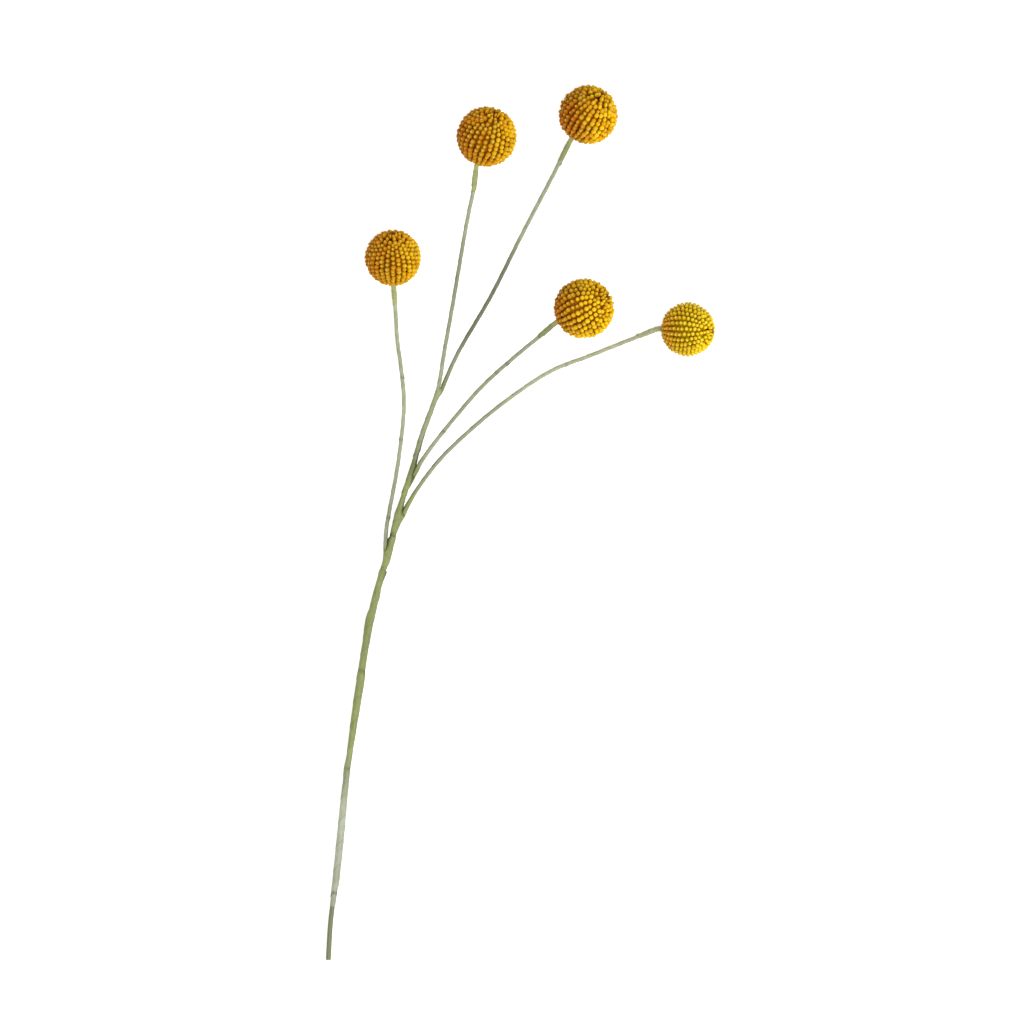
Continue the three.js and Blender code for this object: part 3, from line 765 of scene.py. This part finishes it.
def floret_coat():
    """Rows of drops on a ball, turned so that their eye faces the head's way and put at its middle."""
    tree, given, result = new_tree(
        "floret coat",
        {"Int": ["Rows", "Florets per Row", "Seed"], "Vector": ["Tip", "Middle"], "Material": ["Finish"],
         "Float": ["Head Radius", "First Angle", "Last Angle", "Merge Angle", "Floret Width", "Floret Length",
                   "Floret Height", "Jitter", "Unevenness", "Brownest", "Side Light", "Paleness", "Spin"]},
        {"Geometry": ["Piece"]})
    index = add_node(tree, "GeometryNodeInputIndex").outputs[0]
    rows, per_row, radius = given["Rows"], given["Florets per Row"], given["Head Radius"]
    merge = given["Merge Angle"]
    tilting = 0.16  # the most that a drop leans, in radians
    at_pole = 0.65  # a drop's size by the eye and the neck, as a share of one at the girdle
    narrowest = 0.12  # the least that a row's girdle counts for, on a ball of 1
    filled = 0.96  # how much of the room between its neighbours a drop may take

    def chance(low, high, salt):
        """A random number for each drop. The salt makes each use of it differ."""
        seed = total(tree, given["Seed"], float(salt))
        inputs = {2: low, 3: high, "ID": index, "Seed": seed}
        return add_node(tree, "FunctionNodeRandomValue", inputs).outputs[1]

    def direction(polar, turn):
        """A unit vector at an angle from +Z, turned round Z."""
        sine = reckon(tree, "SINE", polar)
        return joined(tree, product(tree, sine, reckon(tree, "COSINE", turn)),
                      product(tree, sine, reckon(tree, "SINE", turn)), reckon(tree, "COSINE", polar))

    def pointing(upwards, onwards):
        """The turn that takes +Z to one direction, and +Y as near to the other as it goes."""
        return add_node(tree, "FunctionNodeAxesToRotation", {0: upwards, 1: onwards},
                        primary_axis="Z", secondary_axis="Y").outputs[0]

    # Where each drop stands: its row, its number in the row, and from them its two angles.
    row = reckon(tree, "FLOOR", ratio(tree, total(tree, index, 0.5), per_row))
    number = less(tree, index, product(tree, row, per_row))
    odd = reckon(tree, "MODULO", row, 2.0)
    sweep = less(tree, given["Last Angle"], given["First Angle"])
    pitch = ratio(tree, sweep, less(tree, per_row, 0.5))
    steps = total(tree, number, product(tree, odd, 0.5))
    even_polar = total(tree, given["First Angle"], product(tree, steps, pitch))
    stray = ratio(tree, given["Jitter"], radius)
    polar = total(tree, even_polar, product(tree, chance(-1.0, 1.0, 1), stray))
    row_turn = ratio(tree, product(tree, row, 2 * math.pi), rows)
    turn = total(tree, row_turn, given["Spin"], product(tree, chance(-0.8, 0.8, 2), stray))
    out = direction(polar, turn)
    down_row = direction(total(tree, polar, math.pi / 2), turn)

    # How big it may be: towards the eye and the neck every second row stops short, and nearer to them
    # every second one of those that are left, so that the drops always have room.
    to_pole = reckon(tree, "MINIMUM", even_polar, less(tree, math.pi, even_polar))
    ragged = total(tree, to_pole, chance(-0.08, 0.08, 9))
    inner = product(tree, merge, 0.5)
    second = reckon(tree, "COMPARE", reckon(tree, "MODULO", row, 4.0), 2.0, 0.1)
    dropped = reckon(tree, "MAXIMUM", product(tree, reckon(tree, "LESS_THAN", ragged, merge), odd),
                     product(tree, reckon(tree, "LESS_THAN", ragged, inner), second))
    girdle = product(tree, reckon(tree, "MAXIMUM", reckon(tree, "SINE", polar), narrowest), radius)
    room = ratio(tree, product(tree, girdle, 2 * math.pi * filled), rows)
    near = ramp(tree, to_pole, total(tree, merge, 0.15), less(tree, merge, 0.1))
    nearest = ramp(tree, to_pole, total(tree, inner, 0.1), less(tree, inner, 0.05))
    shared = total(tree, near, 1.0, product(tree, nearest, 2.0))
    fullness = total(tree, at_pole, product(tree, reckon(tree, "SINE", to_pole), 1 - at_pole))
    widest = product(tree, given["Floret Width"], fullness)
    width = reckon(tree, "MINIMUM", widest, product(tree, room, shared))
    slimness = ratio(tree, width, given["Floret Width"])
    long = product(tree, given["Floret Length"], total(tree, 0.5, product(tree, slimness, 0.5)))
    swell = total(tree, 1.0, product(tree, chance(-1.3, 0.7, 3), given["Unevenness"]))
    half_high = product(tree, given["Floret Height"], chance(0.96, 1.0, 5), 0.5)
    size = joined(tree, product(tree, width, swell, 0.5), product(tree, long, swell, 0.5), half_high)
    sunk = product(tree, reckon(tree, "POWER", chance(0.0, 1.0, 4), 2.0), product(tree, given["Jitter"], 2.0))
    off_middle = less(tree, radius, half_high, sunk)
    feet = reckon_vector(tree, "SCALE", out, off_middle)
    points = add_node(tree, "GeometryNodePoints", {"Count": product(tree, rows, per_row), "Position": feet})
    tint = chance(0.0, given["Brownest"], 6)
    points = treat(tree, "StoreNamedAttribute", points.outputs[0], {"Name": "tint", "Value": tint})
    tilt = joined(tree, chance(-tilting, tilting, 7), chance(-tilting, tilting, 8))
    lean = add_node(tree, "FunctionNodeEulerToRotation", {0: tilt}).outputs[0]
    aim = add_node(tree, "FunctionNodeRotateRotation", {0: pointing(out, down_row), 1: lean},
                   rotation_space="LOCAL").outputs[0]

    # One drop: a small ball drawn in towards its foot, and a little towards its tip.
    drop = add_node(tree, "GeometryNodeMeshUVSphere", {"Segments": 10, "Rings": 6}).outputs[0]
    x, y, z = split(tree, here(tree))
    depth = product(tree, total(tree, z, 1.0), 0.5)
    drop = treat(tree, "StoreNamedAttribute", drop, {"Name": "depth", "Value": depth})
    waist = product(tree, ramp(tree, depth, 0.0, 0.6, 0.62, 1.0), ramp(tree, depth, 0.5, 1.0, 1.0, 0.8))
    drawn_in = joined(tree, product(tree, x, waist), product(tree, y, waist), z)
    drop = treat(tree, "SetPosition", drop, {"Position": drawn_in})
    coat = add_node(tree, "GeometryNodeInstanceOnPoints",
                    {"Points": points, "Selection": less(tree, 1.0, dropped), "Instance": drop,
                     "Rotation": aim, "Scale": size}).outputs[0]
    coat = treat(tree, "RealizeInstances", coat)
    upright = pointing(given["Tip"], (0, 0, 1))
    coat = treat(tree, "Transform", coat, {"Translation": given["Middle"], "Rotation": upright})
    # Which way each point lies from the ball's middle, scaled and shifted for the painted light and
    # shade across the head, and the drops pressed flat on the surface that the head lies on.
    way = reckon_vector(tree, "NORMALIZE", reckon_vector(tree, "SUBTRACT", here(tree), given["Middle"]))
    eye = reckon_vector(tree, "DOT_PRODUCT", way, given["Tip"])
    coat = treat(tree, "StoreNamedAttribute", coat, {"Name": "eye", "Value": eye})
    side_lit = reckon_vector(tree, "SCALE", way, given["Side Light"])
    way = reckon_vector(tree, "ADD", side_lit, joined(tree, given["Paleness"]))
    coat = treat(tree, "StoreNamedAttribute", coat, {"Name": "way", "Value": way}, data_type="FLOAT_VECTOR")
    x, y, z = split(tree, here(tree))
    pressed = joined(tree, x, y, reckon(tree, "MAXIMUM", z, 0.0))
    coat = treat(tree, "SetPosition", coat, {"Position": pressed})
    coat = treat(tree, "SetShadeSmooth", coat, {"Shade Smooth": True})
    tree.links.new(treat(tree, "SetMaterial", coat, {"Material": given["Finish"]}), result["Piece"])
    return tree


def floret_finish(name, deep, body, tip, shaded_side, cool, lit_side, odd):
    """Dull grainy dye: brown at the drops' feet, partly painted shade between them; a body colour with
    painted light on one side of each head and painted shade, darker and redder, on the other; olive
    drops, and painted olive shade along the upper side; pale tips that are a painted highlight; and an
    odd drop of another colour here and there."""
    material, tree, shader, where = new_finish(name, roughness=0.7)
    shader.inputs["Specular IOR Level"].default_value = 0.07
    depth, tint, eye = [read_mark(tree, mark) for mark in ("depth", "tint", "eye")]
    across, up, _ = split(tree, read_mark(tree, "way", "Vector"))
    # Across the head, from its painted shade side to its painted light side, with some wander.
    side = total(tree, across, spread(tree, cloud(tree, where, size=0.007, detail=2.0), -0.25, 0.25))
    colour = body
    # Each colour with its share. The last darkens the eye, as on the ball: a redder dye with painted shade.
    for dye, share in (
            # painted light: the head's lit side in a paler, yellower colour
            (lit_side, ramp(tree, side, -0.1, 1.2)),
            # painted shade: the other side darker and redder
            (shaded_side, ramp(tree, side, 0.0, -1.0, 0.0, 0.85)),
            (odd, ramp(tree, tint, 0.6, 1.0, 0.0, 0.6)),
            (cool, ramp(tree, tint, 0.0, 0.3, 0.6, 0.0)),
            # painted shade: olive along the head's upper side
            (cool, ramp(tree, up, 0.7, 1.2, 0.0, 0.4)),
            # painted highlight: the paler tip of each drop
            (tip, product(tree, ramp(tree, depth, 0.84, 0.99), ramp(tree, tint, 0.0, 0.8, 0.75, 0.3))),
            # brown at each drop's foot: partly its own colour, partly painted shade between the drops
            (deep, ramp(tree, depth, 0.35, 0.8, 0.82, 0.0)),
            (paint(104, 38, 4), ramp(tree, eye, 0.9877, 0.9962, 0.0, 0.85))):
        colour = blend(tree, share, colour, dye)
    grain = cloud(tree, where, size=0.0005)
    dress(shader, colour, spread(tree, grain, 0.6, 0.85), grain, depth=0.00012)
    return material


FLORET_COAT = floret_coat()
golden = floret_finish(
    "golden_florets", deep=paint(170, 90, 0), body=paint(188, 138, 3), tip=paint(218, 176, 88),
    shaded_side=paint(150, 80, 1), cool=paint(144, 112, 5), lit_side=paint(234, 191, 3), odd=paint(184, 102, 2))
lemon = floret_finish(
    "lemon_florets", deep=paint(180, 130, 0), body=paint(208, 174, 8), tip=paint(228, 204, 112),
    shaded_side=paint(172, 108, 2), cool=paint(168, 144, 10), lit_side=paint(232, 202, 10), odd=paint(190, 128, 2))
NECK_CLEARANCE = 1.5  # from a neck's skin to where the rows of drops end
# Of each head: how wide and long its drops are, how uneven, how far they stray, how brown the brownest is,
# how strong its painted light and shade across the head are, how much paler it is all over, and its turn.
COATS = {1: (3.85, 3.7, 0.1, 0.35, 1.0, 0.95, 0.06, 0.0), 2: (3.75, 4.0, 0.13, 0.4, 1.0, 1.0, 0.02, 0.05),
         3: (3.6, 4.3, 0.2, 0.55, 1.05, 2.6, 0.45, 0.1), 4: (3.7, 3.75, 0.14, 0.5, 0.6, 2.2, 1.0, 0.05),
         5: (3.3, 3.1, 0.1, 0.3, 0.7, 1.8, 0.3, 0.0)}
for number, branch in SPRAY.items():
    width, long, uneven, stray, brownest, side_light, paleness, spin = COATS[number]
    opening = math.pi - math.asin((NECKS[number][2] + NECK_CLEARANCE) / branch["radius"])
    settings = {
        "Head Radius": (branch["radius"] + FLORETS_PROUD[number]) * MM, "Rows": 28, "Florets per Row": 17,
        "First Angle": math.radians(8), "Last Angle": opening, "Merge Angle": math.radians(36),
        "Floret Width": width * MM, "Floret Length": long * MM, "Floret Height": 4.1 * MM,
        "Jitter": stray * MM, "Unevenness": uneven, "Brownest": brownest, "Side Light": side_light,
        "Paleness": paleness, "Seed": 40 + number, "Spin": spin, "Tip": facing(branch).tolist(),
        "Middle": (middle(branch) * MM).tolist(), "Finish": lemon if number == 5 else golden}
    coat = grow(FLORET_COAT, f"floret_coat_{number}", bpy.data.meshes.new(f"ball_{number}"), settings)
    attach(coat, "root")
    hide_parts(f"florets_{number}")


# The table that the spray lies on, the light and the camera: a plain white top, soft light from all
# round with a large lamp on the right, and a camera that looks straight down.
FRAME_SIDE = 1024  # in pixels
CAMERA_HEIGHT, VIEW_WIDTH = 8.0, FRAME_SIDE * MM_PER_PIXEL * MM
HEAD_PLANE = 0.019  # the height at which the view is VIEW_WIDTH wide

table_mesh = bpy.data.meshes.new("table_top")
table_mesh.from_pydata([(-2, -2, 0), (2, -2, 0), (2, 2, 0), (-2, 2, 0)], [], [(0, 1, 2, 3)])
table = new_object("table_top", table_mesh)
white, _, shader, _ = new_finish("white_top", roughness=0.9)
for name, value in (("Base Color", (0.8, 0.8, 0.8, 1.0)), ("Specular IOR Level", 0.0),
                    ("Emission Color", (1.0, 1.0, 1.0, 1.0)), ("Emission Strength", 0.55)):
    shader.inputs[name].default_value = value
table_mesh.materials.append(white)

world = bpy.data.worlds.new("soft_room")
world.use_nodes = True
sky = world.node_tree.nodes["Background"].inputs
sky["Color"].default_value, sky["Strength"].default_value = (1.0, 1.0, 1.0, 1.0), 0.7
scene.world = world

lamp = bpy.data.lights.new("softbox", "AREA")
lamp.shape, lamp.size, lamp.energy = "SQUARE", 1.4, 50.0
softbox = new_object("softbox", lamp)
softbox.location = (0.6, -0.4, 2.4)
softbox.rotation_euler = (-softbox.location).to_track_quat("-Z", "Y").to_euler()

lens = bpy.data.cameras.new("overhead")
lens.lens = lens.sensor_width * (CAMERA_HEIGHT - HEAD_PLANE) / VIEW_WIDTH
camera = new_object("overhead", lens)
x, y = from_pixel((FRAME_SIDE / 2, FRAME_SIDE / 2))
camera.location = (x * MM, y * MM, CAMERA_HEIGHT)
scene.camera = camera
scene.view_settings.view_transform = "Standard"
